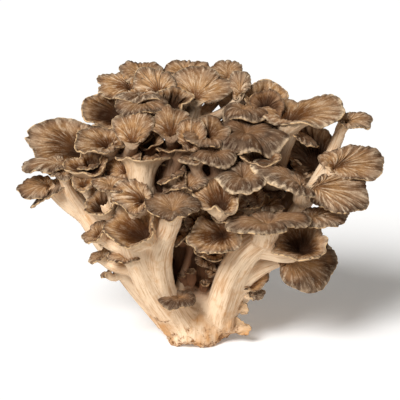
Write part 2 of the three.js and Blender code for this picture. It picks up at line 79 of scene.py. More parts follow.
# Fronds of each branch. Each row: where it leaves the branch (0 foot, 1 tip); centre of its mouth x, y, z;
# tilt of the mouth from level and the heading it tilts to, in degrees (-90 is the front, 0 the right);
# half-width across the heading and half-length along it; seat of the neck along and across the heading, as
# shares of those; depth of the neck below the mouth; cup (1 a bowl, 0 a flat trumpet, -1 a hood with its
# margin turned down); height of the frill; neck radius where it is not usual.
frondRows = {
    "left": [
        (0.95, -68, -8, 113, 48, -115, 27, 16, 0.1, 0.1, 14, 0.7, 1.2),
        (0.9, -79, -12, 102, 12, -110, 14.5, 9, -0.2, 0.6, 5, -0.2, 1.2),
        (0.72, -86, -10, 89, 35, -110, 9.5, 9, -0.2, 0.9, 3, 0.1, 0.8),
        (0.8, -69, -20, 99, 15, -100, 8, 6.5, 0, 0, 5, -0.5, 0.8),
        (0.42, -47, -14, 42, 40, 180, 4, 4.5, 0, 0, 4, 0, 0.4),
    ],
    "leftFront": [
        (0.95, -57, -26, 106, 30, -100, 11.5, 9.5, 0, 0.3, 12, 0.8, 0.8),
        (0.85, -58, -31, 97, 30, -110, 7, 7, 0, 0, 7, 0.5, 0.6),
        (0.95, -43, -36, 97, 20, -95, 10, 8, 0, 0, 6, 0, 0.8),
        (0.85, -49, -39, 88, 38, -115, 9.5, 8.5, 0, 0.2, 12, 0.8, 0.6),
        (0.9, -32, -45, 93, 50, -95, 10.5, 10, 0.3, 0.5, 6, 0.3, 0.9),
        (0.7, -33, -50, 79, 38, -105, 14.5, 13.5, 0, 0.4, 14, 0.8, 0.9),
        (0.6, -52, -36, 71, 40, -140, 7, 8.5, 0, 0.2, 7, 0.4, 0.7),
        (0.45, -50, -28, 56, 30, -150, 6, 7, 0, 0.2, 5, 0, 0.5),
        (0.5, -37, -38, 58, 25, -110, 8, 6, 0, 0.4, 5, 0, 0.6),
    ],
    "topLeft": [
        (0.95, -49, -4, 131, 48, -100, 11.5, 12, 0, 0.6, 14, 0.9, 0.8),
        (0.95, -41, 8, 142, 35, -100, 12.5, 10.5, 0.2, 0.5, 6, 0.2, 1.2),
        (0.9, -29, 17, 148, 30, -80, 11, 10, 0.6, 0, 5, 0.1, 1),
        (0.9, -22, 8, 144, 45, -90, 11, 10.5, 0.9, 0.2, 4, 0.2, 1),
        (0.85, -29, -4, 137, 10, -90, 12, 5.5, -0.5, 0, 3, -0.4, 1.2),
        (0.85, -28, -9, 134, 20, -95, 14, 9.5, -0.3, 0, 5, -0.2, 1.2),
        (0.8, -32, -22, 125, 50, -95, 10.5, 10.5, 0.95, 0, 3, 0.3, 1),
        (0.75, -50, -22, 118, 28, -80, 13, 12, 0, 0.5, 10, 0.5, 1.2),
    ],
    "topMiddle": [
        (0.9, -11, -4, 137, 35, -90, 10, 9.5, 0, 0, 13, 0.9, 0.6),
        (0.95, -12, 14, 142, 40, -80, 7.5, 8.5, 0.5, 0, 5, 0.2, 0.7),
        (0.8, -12, -18, 127, 44, -85, 11, 10.5, 0.9, 0, 3, 0.2, 0.9),
        (0.95, 4, 10, 142, 50, -90, 17, 11.5, 0.95, -0.2, 3, 0.1, 1.2),
        (0.95, -3, 22, 147, 40, -90, 12, 10, 0.6, 0, 4, 0.2, 0.9),
        (0.95, 18, 24, 147, 40, -90, 8.5, 8.5, 0.6, 0, 4, 0, 0.7),
        (0.95, 25, 12, 142, 50, -100, 6, 9, 0.9, 0, 3, 0, 0.8),
        (0.75, -1, -26, 122, 45, -100, 8.5, 10, 0.8, 0, 4, 0.4, 0.8),
    ],
    "centre": [
        (0.7, -27, -32, 109.5, 8, 90, 14.5, 12, 0, 0, 14, 0.1, 0.9, 6.5),
        (0.8, -8, -26, 112.5, 10, 80, 11.5, 9, 0, 0.3, 14, 0.1, 0.8, 4.5),
        (0.9, -12, -35, 100, 22, 180, 6.5, 7.5, 0, 0, 5, 0, 0.5),
        (0.85, -11, -50, 89, 24, -90, 13.5, 12.5, 0.1, 0, 7, -0.1, 0.6, 5.5),
        (0.3, -9, -30, 31.5, 32, -80, 9.5, 7, -0.6, 0, 4, -0.2, 0.8),
    ],
    "midFront": [
        (0.9, 2, -34, 110, 8, -90, 9.5, 6.5, 0, 0, 7, -0.1, 0.6),
        (0.95, 11, -34, 112, 20, -90, 11.5, 9.5, -0.3, 0, 5, -0.5, 1.2),
        (0.95, 20, -27, 114, 5, -90, 9, 7, 0, 0, 4, -0.2, 0.8),
        (0.85, 26, -42, 102, 30, -85, 13, 11, -0.3, 0, 8, -0.5, 1.6),
        (0.7, 29, -29, 89, 42, -80, 9.5, 9, 0.4, 0, 8, 0.7, 0.8),
        (0.75, 12.5, -43, 93.5, 34, -88, 13, 12.5, 0.4, 0.15, 10, 0.6, 1),
        (0.55, 12, -44, 72, 50, -85, 14.5, 12, -0.1, 0.3, 8, 0.4, 1.6),
    ],
    "topRight": [
        (0.95, 39, 6, 134, 60, -90, 12.5, 12.5, 0.5, 0, 14, 0.9, 0.6),
        (0.9, 28, -4, 129, 15, -90, 12.5, 9.5, -0.4, 0, 4, -0.5, 1.2),
        (0.85, 30, -20, 119, 20, -85, 21, 15, -0.4, 0, 6, -0.4, 1.8),
        (0.8, 36, -32, 112, 22, -80, 10.5, 10, 0, 0, 11, 0.8, 0.6),
        (0.95, 60, -3, 131, 25, -85, 22, 14.5, 0.4, -0.4, 10, 0.35, 0.9, 5.5),
    ],
    "farRight": [
        (0.9, 88, 0, 124, 30, -85, 9.5, 7.5, 0, -0.8, 9, 0.1, 0.7),
        (0.95, 87, -10, 103, 40, -80, 17, 12.5, 0.3, -0.75, 4, 0.1, 1.4),
        (0.85, 79, -24, 90, 40, -70, 17.5, 14, -0.3, -0.85, 4, 0, 1.8),
        (0.85, 46, -37, 101, 24, -25, 10.5, 20, 0.6, 0.5, 5, -0.5, 1),
        (0.7, 70, -28, 77, 25, -85, 13, 9, -0.2, -0.6, 4, -0.2, 1.2),
        (0.55, 63, 2, 108, 72, -85, 14.5, 16, 0.8, 0.2, 6, 0.6, 0.6),
    ],
    "right": [
        (0.95, 39, -44, 79, 12, -80, 23, 11, -0.2, 0, 8, -0.2, 1.2, 7),
        (0.75, 56.5, -40, 67.5, 35, -80, 16.2, 13.2, -0.1, 0, 12.5, 0.6, 1.2),
    ],
    "lowRight": [
        (0.95, 61, -23, 51.5, 60, -75, 18, 16, -0.15, -0.65, 4, -0.1, 1.2),
        (0.55, 33.5, -21, 40.5, 65, -80, 8, 6.6, 0.6, -0.8, 3, 0.3, 0.4),
        (0.35, 34.5, -19, 31, 65, -80, 4.8, 3.3, 0.1, -0.9, 2, -0.1, 0.3),
        (0.2, 25.5, -13, 21.5, 76, 62, 5.2, 4.6, 0.1, 0.7, 2.5, 0, 0.5),
        (0.1, 25, -12, 10, 76, 62, 6.8, 5.4, 0.2, 0.7, 2.5, 0, 0.5),
    ],
    "backLeft": [],
    "back": [],
    "backRight": [],
    "core": [
        (0.15, -1.5, -19.5, 44, 22, -85, 3.6, 2.8, 0, 0, 8, 0.9, 0.4),
        (0.12, -6.5, -20, 42, 30, -110, 2.7, 2.4, 0, 0, 7, 0.8, 0.4),
        (0.2, 6.5, -18, 37, 35, -70, 3, 2.6, 0, 0, 5, 0.6, 0.4),
    ],
}

# Fronds that a rule and a repeatable draw place. Each tier: how many, from which heading to which, distance
# out, height, tilt, half-width, half-length. What is drawn: its least value, and how much a draw can add.
tierSets = [
    {  # round the back
        "firstNumber": 200,
        "tiers": [
            (3, 35, 145, 50, 62, 35, 15, 14),
            (5, 12, 168, 72, 88, 30, 19, 17),
            (4, 24, 156, 58, 114, 30, 18, 16),
            (2, 60, 120, 36, 133, 25, 17, 14),
        ],
        "branches": [(65, "backRight"), (115, "back"), (360, "backLeft")],  # each up to that heading
        "plan": (1, 0.85),  # shares of the distance that are taken sideways and forwards
        "leaves": (115, 0.25),  # a frond leaves its branch at its height over the first, less the second
        "frill": 1.4,
        "drawn": {
            "heading": (-0.3, 0.6),  # in steps between two fronds
            "distance": (0.9, 0.2), "size": (0.8, 0.4), "height": (-5, 10), "tilt": (-10, 20),
            "seatAhead": (-0.7, 0.5), "deep": (6, 4), "cup": (-0.4, 0.9), "seatAcross": (0, 0),
        },
    },
    {  # smaller ones in the heart of the head, behind the front ones
        "firstNumber": 300,
        "tiers": [
            (6, 198, 342, 35, 66, 45, 9, 9),
            (7, 190, 350, 38, 84, 42, 11, 10),
            (7, 186, 354, 37, 100, 38, 11, 10),
            (6, 196, 344, 28, 117, 35, 11, 10),
        ],
        "branches": [(360, "core")],
        "plan": (1.25, 0.85),
        "leaves": (112, 0.32),
        "frill": 1.2,
        "drawn": {
            "heading": (-0.35, 0.7),
            "distance": (0.85, 0.3), "size": (0.8, 0.5), "height": (-6, 12), "tilt": (-15, 30),
            "seatAhead": (0, 0.5), "deep": (7, 5), "cup": (-0.2, 1), "seatAcross": (-0.3, 0.6),
        },
    },
]

# A few more, each on the branch beside it
deepRows = [
    # two deep behind the front ones
    ("topLeft", (0.6, -52, 4, 99, 62, -110, 14, 13, 0.4, 0, 7, 0.3, 1)),
    ("topRight", (0.6, 53, 9, 99, 68, -85, 10, 11, 0.6, 0, 6, 0.3, 1)),
    # a thin stalk and a flap in the dark gap between the front stems
    ("centre", (0.1, -0.5, -26, 64, 60, -90, 5, 4, 0, 0, 4, 0, 0.4, 1.8)),
    ("midFront", (0.12, 6, -19, 51, 70, -60, 5.5, 5, 0.3, 0.3, 4, 0.1, 0.5, 1.6)),
    # a dark hollow before the tan hood at the top right, and another flap in the gap
    ("topRight", (0.93, 40, -4, 132.5, 72, -90, 9.8, 9, 0.6, 0, 6, 0.3, 0.5)),
    ("midFront", (0.06, 10, -18, 44, 60, -110, 3.5, 4, 0.3, 0.3, 4, 0.3, 0.5, 1.3)),
]

growth = {
    "neckBase": 1.5,  # neck radius of a frond is neckBase + neckShare * half-width of its cap, mm
    "neckShare": 0.16,
    "rootNecks": 1.5,  # radius of its stem at the root, in neck radii
    "rootShare": 0.85,  # and at most this share of the branch's own radius
    "stemBow": 0.38,  # how far a stem holds its heading at either end, share of its span
    "cupAngle": 65,  # how steeply the margin of a full bowl rises, degrees
    "bowlSpread": 1.6,  # how far a bowl sets out sideways from its neck
    "setOut": 0.45,  # at most this share of a cap's curve from neck to margin keeps the first heading
    "arrive": 0.4,  # and this share keeps the last
    "dish": 0.4,  # how far the flesh stands over the middle of the neck, neck radii
}


def draw(number, which):  # a repeatable draw between 0 and 1
    value = math.sin(number * 12.9898 + which * 78.233) * 43758.5453
    return value - math.floor(value)


def unit(vectors):
    vectors = np.asarray(vectors, float)
    return vectors / np.maximum(np.linalg.norm(vectors, axis=-1, keepdims=True), 1e-9)


def ease(share):
    return share * share * (3 - 2 * share)


def fade(values, start, end):  # 0 up to start, 1 from end on, and even between
    return np.clip((values - start) / (end - start), 0, 1)


def ripple(turn, number, which, low, high):  # a periodic, band-limited random wave of about +-1
    uneven = (turn + 0.35 * np.sin(turn + fullTurn * draw(number, which + 1))
              + 0.2 * np.sin(2 * turn + fullTurn * draw(number, which + 2)))
    wave = 0
    for count in range(low, high + 1):
        size = 1.6 * draw(number, which + 3 * count) ** 1.5
        wave = wave + size * np.sin(count * uneven + fullTurn * draw(number, which + 3 * count + 1))
    return wave / math.sqrt(high - low + 1)


def addTiers(tierSet):
    number = tierSet["firstNumber"]
    sideways, forwards = tierSet["plan"]
    divisor, less = tierSet["leaves"]
    for count, first, last, out, height, tilt, wide, long in tierSet["tiers"]:
        for i in range(count):
            number += 1
            step, distance, size, rise, lean, seatAhead, deep, cup, seatAcross = [
                least + more * draw(number, which)
                for which, (least, more) in enumerate(tierSet["drawn"].values(), 1)]
            toward = first + (last - first) * (i + step) / (count - 1)
            x = sideways * out * distance * math.cos(math.radians(toward))
            y = forwards * out * distance * math.sin(math.radians(toward))
            branch = next(name for limit, name in tierSet["branches"] if toward < limit)
            frondRows[branch].append((
                height / divisor - less, x, y, height + rise, tilt + lean, toward, wide * size, long * size,
                seatAhead, seatAcross, deep, cup, tierSet["frill"]))


def openBranch(rows):
    points = np.array([row[:3] for row in rows], float)
    radii = np.array([row[3] for row in rows], float)
    padded = np.vstack([2 * points[0] - points[1], points, 2 * points[-1] - points[-2]])

    def pointAt(share):  # centripetal Catmull-Rom curve through the points
        place = min(max(share, 0), 1) * (len(points) - 1)
        low = min(int(place), len(points) - 2)
        a, b, c, d = padded[low:low + 4]
        gaps = [np.linalg.norm(q - p) ** 0.5 for p, q in ((a, b), (b, c), (c, d))]
        leave = gaps[1] * ((b - a) / gaps[0] - (c - a) / (gaps[0] + gaps[1]) + (c - b) / gaps[1])
        arrive = gaps[1] * ((c - b) / gaps[1] - (d - b) / (gaps[1] + gaps[2]) + (d - c) / gaps[2])
        t = place - low
        return (b + t * leave + t * t * (3 * (c - b) - 2 * leave - arrive)
                + t ** 3 * (2 * (b - c) + leave + arrive))

    def tangentAt(share):
        return unit(pointAt(share + 1e-4) - pointAt(share - 1e-4))

    def radiusAt(share):
        return float(np.interp(share * (len(radii) - 1), np.arange(len(radii)), radii))

    return SimpleNamespace(pointAt=pointAt, tangentAt=tangentAt, radiusAt=radiusAt)


def bezier(corners, t):
    a, b, c, d = corners
    return (1 - t) ** 3 * a + 3 * t * (1 - t) ** 2 * b + 3 * t * t * (1 - t) * c + t ** 3 * d


def turnOnto(vector, fromDir, toDir):  # the shortest turn that takes fromDir to toDir, applied to vector
    axis = np.cross(fromDir, toDir)
    cosine = float(fromDir @ toDir)
    return vector * cosine + np.cross(axis, vector) + axis * float(axis @ vector) / (1 + cosine)


def openFrond(row, number, branch, name):
    at, x, y, z, tilt, toward, wide, long, seatAhead, seatAcross, deep, cup, frill = row[:13]
    neck = row[13] if len(row) > 13 else growth["neckBase"] + growth["neckShare"] * wide
    lean = math.radians(tilt)
    heading = math.radians(toward)
    flat = np.array([math.cos(heading), math.sin(heading), 0])
    top = np.array([0, 0, 1.0])
    up = flat * math.sin(lean) + top * math.cos(lean)
    ahead = flat * math.cos(lean) - top * math.sin(lean)
    across = np.cross(up, ahead)
    mouth = np.array([x, y, z], float)
    below = mouth + seatAhead * long * ahead + seatAcross * wide * across
    throat = below - deep * up
    root = branch.pointAt(at)
    rise = unit(throat - root)
    axis = unit(rise + up)
    leaving = unit(branch.tangentAt(at) + rise)
    hold = growth["stemBow"] * np.linalg.norm(throat - root)
    return SimpleNamespace(
        name=name, number=number, wide=wide, long=long, deep=deep, cup=cup, frill=frill, neck=neck,
        up=up, ahead=ahead, across=across, mouth=mouth, below=below, throat=throat, axis=axis,
        route=(root, root + hold * leaving, throat - hold * axis, throat),
        rootRadius=min(growth["rootNecks"] * neck, growth["rootShare"] * branch.radiusAt(at)),
        neckAhead=turnOnto(ahead, up, axis), neckAcross=turnOnto(across, up, axis))


cap = {
    "turnStep": 0.6,  # mm between points round the margin
    "shareStep": 0.8,  # mm between rings
    "coarser": 1.5,  # those steps are this much longer on fronds at the back and in the heart
    "sides": (48, 240),  # fewest and most
    "rings": (9, 30),
    "marginThickness": 0.9,  # mm
    "middleThickness": 0.9,  # more than that towards the neck, mm
    "scallops": (6, 11),  # fewest and most round a margin
    "scallopDepth": 0.03,  # share of the reach
    "nibble": 0.008,  # the finest unevenness of the margin, share of the reach
    "pleatSpacing": 3.6,  # mm between the creases of the lip
    "pleat": 0.55,  # how deep those creases are, mm
    "pleatPull": 0.9,  # how far they draw the margin in, share of their depth
    "pleatsFrom": 0.8,  # share of the way out at which they start
    "notches": (0, 3),
    "notchDepth": 0.2,  # share of the reach
    "notchStep": 0.035,  # how unlike in height the two sides of one are, share of the half-width
    # folds, ruffles and crinkles of the margin: height (share of the half-length, and mm for crinkles),
    # which draw, fewest and most round it, and how late they rise on the way out
    "waves": [(0.05, 80, 3, 7, 2), (0.03, 120, 8, 16, 5), (0.22, 180, 20, 38, 9)],
    "roll": 0.14,  # how far the margin rolls down, share of the half-length
    "rollsFrom": 0.62,  # share of the way out at which that starts
    "ridgeSpacing": (11.0, 4.0),  # widest and narrowest at the margin, mm
    "ridge": 0.42,  # height of the ridges that run out from the throat, mm
    "rib": 0.14,  # height of the finer ribs between them, mm
    "under": 0.8,  # share of that relief that the underside has
    "shown": (0.8, 0.4, 2.2),  # how strongly ridges, ribs and creases show in the colour: painted highlight on ridges, painted shade in creases
    "swirl": 0.6,  # how far the ridges bend aside on their way out, radians
    "neckSleeve": 5.0,  # how far the underside runs down over the stem, mm
    "noThroat": 0.2,  # caps less cupped than this have less and less of the painted shade of a dark throat
    "flatLight": 0.55,  # how light the middle of such a cap is at most
    "cupShade": 0.75,  # how much further out a bowl's painted throat shade reaches
}

# What sets single fronds apart: tone is 0 for light tan and 1 for dark grey-brown, and band is how strong
# the pale outer band is (0 to 1). Ridge, grain (of the fibres), waves, scallops, pleats, notches and roll
# (of the margin) are shares of the usual. Hollow is how far out the painted shade of the throat reaches, and
# one more key adds painted shade of the heart of the head over the whole cap.
frondLooks = {
    "left_1": {"tone": 0.9, "ridge": 1.3},
    "left_2": {"tone": 0.7},
    "left_3": {"tone": 0.75, "grain": 0.7},
    "leftFront_1": {"tone": 0.45, "ridge": 0.7, "hollow": 1.5},
    "leftFront_4": {"tone": 0.7, "hollow": 2},
    "leftFront_5": {"tone": 0.4, "ridge": 1.3},
    "leftFront_6": {"tone": 0.4, "ridge": 0.6, "hollow": 0.5, "grain": 0.7},
    "topLeft_1": {"tone": 0.7, "hollow": 1.5},
    "topLeft_2": {"tone": 0.4, "ridge": 1.2},
    "topLeft_3": {"tone": 0.7},
    "topLeft_4": {"tone": 0.3, "ridge": 1.3},
    "topLeft_5": {"tone": 0.4, "band": 0.3},
    "topLeft_6": {"tone": 0.65, "ridge": 0.7, "grain": 0.8},
    "topLeft_7": {"tone": 0.0, "ridge": 0.6, "hollow": -0.3},
    "topLeft_8": {"tone": 0.5, "ridge": 1.2},
    "topMiddle_1": {"tone": 0.9, "hollow": 2.5},
    "topMiddle_3": {"tone": 0.6, "ridge": 0.6},
    "topMiddle_4": {"tone": 0.35, "ridge": 0.8},
    "topMiddle_5": {"tone": 0.45},
    "topMiddle_6": {"tone": 0.5},
    "topMiddle_7": {"tone": 0.4, "ridge": 1.4},
    "topMiddle_8": {"tone": 0.15, "hollow": -0.2},
    "centre_1": {"tone": 0.15, "roll": 0.1, "ridge": 0.6, "waves": 0.35},
    "centre_2": {"tone": 0.3, "ridge": 0.7, "waves": 0.5, "roll": 0.3},
    "centre_4": {"tone": 0.3, "ridge": 0.15, "roll": 0.5, "waves": 0.5, "hollow": -0.4,
                 "pleats": 0.7, "grain": 0.5},
    "centre_5": {"tone": 0.35, "ridge": 0.12, "waves": 0.4, "hollow": -0.4, "notches": 0,
                 "scallops": 0.5, "pleats": 0.15, "grain": 0.35},
    "midFront_1": {"tone": 0.1, "band": 0.9},
    "midFront_2": {"tone": 0.35, "band": 0.7, "roll": 1.6, "ridge": 0.5, "grain": 0.65},
    "midFront_4": {"tone": 0.5, "band": 0.8, "roll": 1.6, "ridge": 0.5, "grain": 0.65},
    "midFront_5": {"tone": 0.4, "hollow": 0.8},
    "midFront_6": {"tone": 0.5, "band": 0.5, "hollow": 0.4, "ridge": 0.8},
    "midFront_7": {"tone": 0.75, "ridge": 0.5, "waves": 2.4, "band": 0.3, "hollow": 0.7, "scallops": 3.5},
    "topRight_1": {"tone": 0.1, "roll": 1.8, "hollow": 1.2, "ridge": 0.5},
    "topRight_2": {"tone": 0.4, "band": 0.7, "roll": 1.6, "ridge": 0.5, "grain": 0.65},
    "topRight_3": {"tone": 0.6, "band": 0.6, "roll": 1.6, "ridge": 0.3, "waves": 1.7, "grain": 0.6},
    "topRight_4": {"tone": 0.85, "hollow": 2},
    "topRight_5": {"tone": 0.65, "band": 0.7, "ridge": 0.7, "roll": 1.5},
    # down in a dark hollow: most of the dark of this one is painted shade
    "topRight_7": {"tone": 0.8, "hollow": 2.6, "ridge": 0.8, "roll": 0.1, "paintedShade": 1.0, "scallops": 2},
    "farRight_1": {"tone": 0.6},
    "farRight_2": {"tone": 0.6, "ridge": 1.5},
    "farRight_3": {"tone": 0.5, "ridge": 1.6},
    "farRight_4": {"tone": 0.55, "band": 0.8, "roll": 1.5, "grain": 0.65},
    "farRight_5": {"tone": 0.7},
    "farRight_6": {"tone": 1.0, "hollow": 3, "ridge": 1.4},
    "right_1": {"tone": 0.75, "band": 0.4, "roll": 1.5, "ridge": 0.4, "waves": 1.3, "grain": 0.6},
    "right_2": {"tone": 0.95, "band": 0.3, "hollow": 1.3, "ridge": 0.5},
    "lowRight_1": {"tone": 0.1, "ridge": 0.3, "hollow": -0.3, "pleats": 0.6, "grain": 0.6},
    "lowRight_2": {"tone": 0.3, "hollow": 0.6, "ridge": 0.4, "grain": 0.5},
    "lowRight_3": {"tone": 0.0, "hollow": -0.7, "ridge": 0.3},
    "lowRight_4": {"tone": 0.0, "hollow": -0.7, "ridge": 0.4, "scallops": 6},
    "lowRight_5": {"tone": 0.0, "hollow": -0.8, "ridge": 0.4, "scallops": 5},
    # small fronds in the heart of the head, given more painted shade
    "core_1": {"tone": 0.6, "paintedShade": 0.4},
    "core_2": {"tone": 0.6, "paintedShade": 0.4},
    "core_3": {"tone": 0.6, "paintedShade": 0.4},
}



def lookOf(frond, what, usual):
    return frondLooks.get(frond.name, {}).get(what, usual)


# The next two give a frond the same broad lobes and waves as its solid has
def lobes(frond, turn):
    phase = [fullTurn * draw(frond.number, which) for which in (11, 12, 13)]
    return (1 + 0.07 * np.sin(2 * turn + phase[0]) + 0.06 * np.sin(3 * turn + phase[1])
            + 0.05 * np.sin(5 * turn + phase[2]))


def frillAt(frond, turn):
    phase = [fullTurn * draw(frond.number, which) for which in (14, 15)]
    return frond.frill * (0.7 * np.sin(3 * turn + phase[0]) + 0.5 * np.sin(5 * turn + phase[1]))


def marginDetail(frond, turn):
    # Scallops with tight creases between them, and a few notches whose two sides stand at unlike heights
    number = frond.number
    fewest, most = cap["scallops"]
    count = fewest + round((most - fewest) * draw(number, 31))
    phase = [fullTurn * draw(number, which) for which in (32, 33)]
    bent = turn + 0.3 * np.sin(turn + phase[0]) + 0.2 * np.sin(2 * turn + phase[1])
    scallop = np.sqrt(0.04 + np.abs(np.sin(0.5 * count * bent + number))) - 0.9
    reach = cap["scallopDepth"] * scallop * lookOf(frond, "scallops", 1)
    reach = reach + cap["nibble"] * ripple(turn, number, 200, 16, 44)
    lift = np.zeros_like(turn)
    fewest, most = cap["notches"]
    for i in range(round((fewest + (most - fewest) * draw(number, 34)) * lookOf(frond, "notches", 1))):
        place = fullTurn * draw(number, 40 + i)
        width = 0.07 + 0.08 * draw(number, 50 + i)
        offset = (turn - place + math.pi) % fullTurn - math.pi
        bell = np.exp(-(offset / width) ** 2)
        wideBell = np.exp(-(offset / (3 * width)) ** 2)
        reach = reach - cap["notchDepth"] * (0.4 + 0.6 * draw(number, 60 + i)) * bell
        side = 1 if draw(number, 70 + i) > 0.5 else -1
        lift += side * cap["notchStep"] * frond.wide * (offset / width) * wideBell
    return reach, lift


def pleats(frond, turn):
    # Round the lip: 0 on each small lobe, 1 in the sharp crease between two, deep and shallow by stretches
    number = frond.number
    count = max(round(math.pi * (frond.wide + frond.long) / cap["pleatSpacing"]), 5)
    bent = turn + 0.25 * np.sin(2 * turn + number) + 0.35 * np.sin(3 * turn + 2 * number) / 3
    crease = 1 - np.abs(np.sin(0.5 * count * bent + number)) ** 0.6
    return crease * np.clip(0.65 + 0.5 * ripple(turn, number, 270, 2, 5), 0.1, 1.2)


def forkingRidges(turn, out, number, fewest, most):
    # Three sets of ridges that bend unlike ways and each fade in and out on their way to the margin, so
    # that ridges fork and join and none runs all the way from a hub
    total = 0
    for part in range(3):
        bend = cap["swirl"] * (draw(number, 25 + part) - 0.5) * 2 * out ** 2
        middle = 0.45 + 0.27 * part
        window = np.exp(-((out - middle) / 0.24) ** 2)
        total = total + window * ripple(turn[None, :] + bend, number, 240 + 300 * part, fewest, most)
    return total * ease(fade(out, 0.1, 0.5))


def capSurfaces(frond, turn, share):
    # The flesh under and above, as grids of rings by turns, and how far each point stands out in relief
    number = frond.number
    out = share[:, None]
    s = share[:, None, None]
    cosine, sine = np.cos(turn)[:, None], np.sin(turn)[:, None]

    # each line from neck to margin is a curve that sets out along the stem and arrives as the cup asks
    start = frond.throat + frond.neck * (cosine * frond.neckAhead + sine * frond.neckAcross)
    reach, notchLift = marginDetail(frond, turn)
    ray = cosine * frond.long * frond.ahead + sine * frond.wide * frond.across
    ray = ray * (lobes(frond, turn) + reach)[:, None]
    end = frond.mouth + ray
    level = unit(unit(ray) + unit(end - frond.below))
    bend = frond.cup * math.radians(growth["cupAngle"])
    outward = level * math.cos(bend) + frond.up * math.sin(bend)
    span = np.linalg.norm(end - start, axis=1, keepdims=True)
    leave = unit(frond.axis + growth["bowlSpread"] * max(frond.cup, 0) * level)
    first = start + leave * np.minimum(growth["setOut"] * span, 0.9 * frond.deep + 0.3 * frond.neck)
    second = end - growth["arrive"] * span * outward
    under = bezier((start, first, second, end), s)

    # waves, and the margin rolled down, calm in some stretches and ruffled in others
    size = min(frond.wide, frond.long)
    waves = lookOf(frond, "waves", 1)
    lively = waves * np.clip(0.6 + 0.6 * ripple(turn, number, 60, 1, 3), 0.1, 1.4)
    rolled = lookOf(frond, "roll", 1) * np.clip(0.8 + 0.3 * ripple(turn, number, 150, 1, 4), 0.2, 1.4)
    fold, ruffle, crinkle = [height * ripple(turn, number, which, low, high) * out ** late
                             for height, which, low, high, late in cap["waves"]]
    lift = (waves * frillAt(frond, turn) * out ** 2.5 + notchLift * out ** 4
            + size * (waves * fold + lively * ruffle) + lively * crinkle
            - cap["roll"] * size * rolled * fade(out, cap["rollsFrom"], 1) ** 2)
    under = under + lift[..., None] * frond.up

    # the upper side: a dish over the neck that thins towards the margin
    aroundStep = np.roll(under, -1, axis=1) - np.roll(under, 1, axis=1)
    normal = unit(np.cross(np.gradient(under, axis=0), aroundStep))
    blend = ease(s)
    dish = frond.throat + growth["dish"] * frond.neck * frond.axis
    thickness = cap["marginThickness"] + cap["middleThickness"] * (1 - s)
    above = under + (dish - start) * (1 - blend) + normal * thickness * blend

    # ridges, ribs and the creases of the lip on both sides
    around = math.pi * (frond.wide + frond.long)
    fewest, most = [max(round(around / spacing), 3) for spacing in cap["ridgeSpacing"]]
    broad = forkingRidges(turn, out, number, fewest, most)
    fine = forkingRidges(turn, out, number + 7, 2 * most, 3 * most)
    steepness = lookOf(frond, "ridge", 0.7 + 0.6 * draw(number, 23)) * (1 - 0.4 * out ** 8)
    lip = fade(out, cap["pleatsFrom"], 1) ** 1.5 * pleats(frond, turn) * lookOf(frond, "pleats", 1)
    height = (cap["ridge"] * broad + cap["rib"] * fine) * steepness - cap["pleat"] * lip
    drawnIn = level * (cap["pleatPull"] * cap["pleat"] * lip)[..., None]
    above = above + normal * height[..., None] - drawnIn
    under = under + cap["under"] * normal * height[..., None] - drawnIn
    ridges, ribs, creases = cap["shown"]
    # the relief also goes to the colour, as painted highlight on ridges and painted shade in the creases of
    # the lip
    return under, above, (ridges * broad + ribs * fine) * steepness - creases * lip


def throatShadeLift(frond, shares):
    # 0 where the painted shade of a deep throat is full, 1 at the margin; hoods and flat caps have no throat
    flat = min(max(cap["noThroat"] - frond.cup, 0), cap["flatLight"])
    return flat + (1 - flat) * shares ** (1 + cap["cupShade"] * frond.cup + lookOf(frond, "hollow", 0))


def ringFaces(rows, sides):
    # Quads between neighbouring rings, and a fan at either end to the two points that follow the rings' own
    index = np.arange(sides)
    following = (index + 1) % sides
    band = np.stack([index, following, following + sides, index + sides], axis=1)
    quads = np.concatenate([band + row * sides for row in range(rows - 1)])
    last = (rows - 1) * sides
    startPoint, endPoint = np.full(sides, rows * sides), np.full(sides, rows * sides + 1)
    tips = np.vstack([np.stack([following, index, startPoint], axis=1),
                      np.stack([last + index, last + following, endPoint], axis=1)])
    return quads, tips


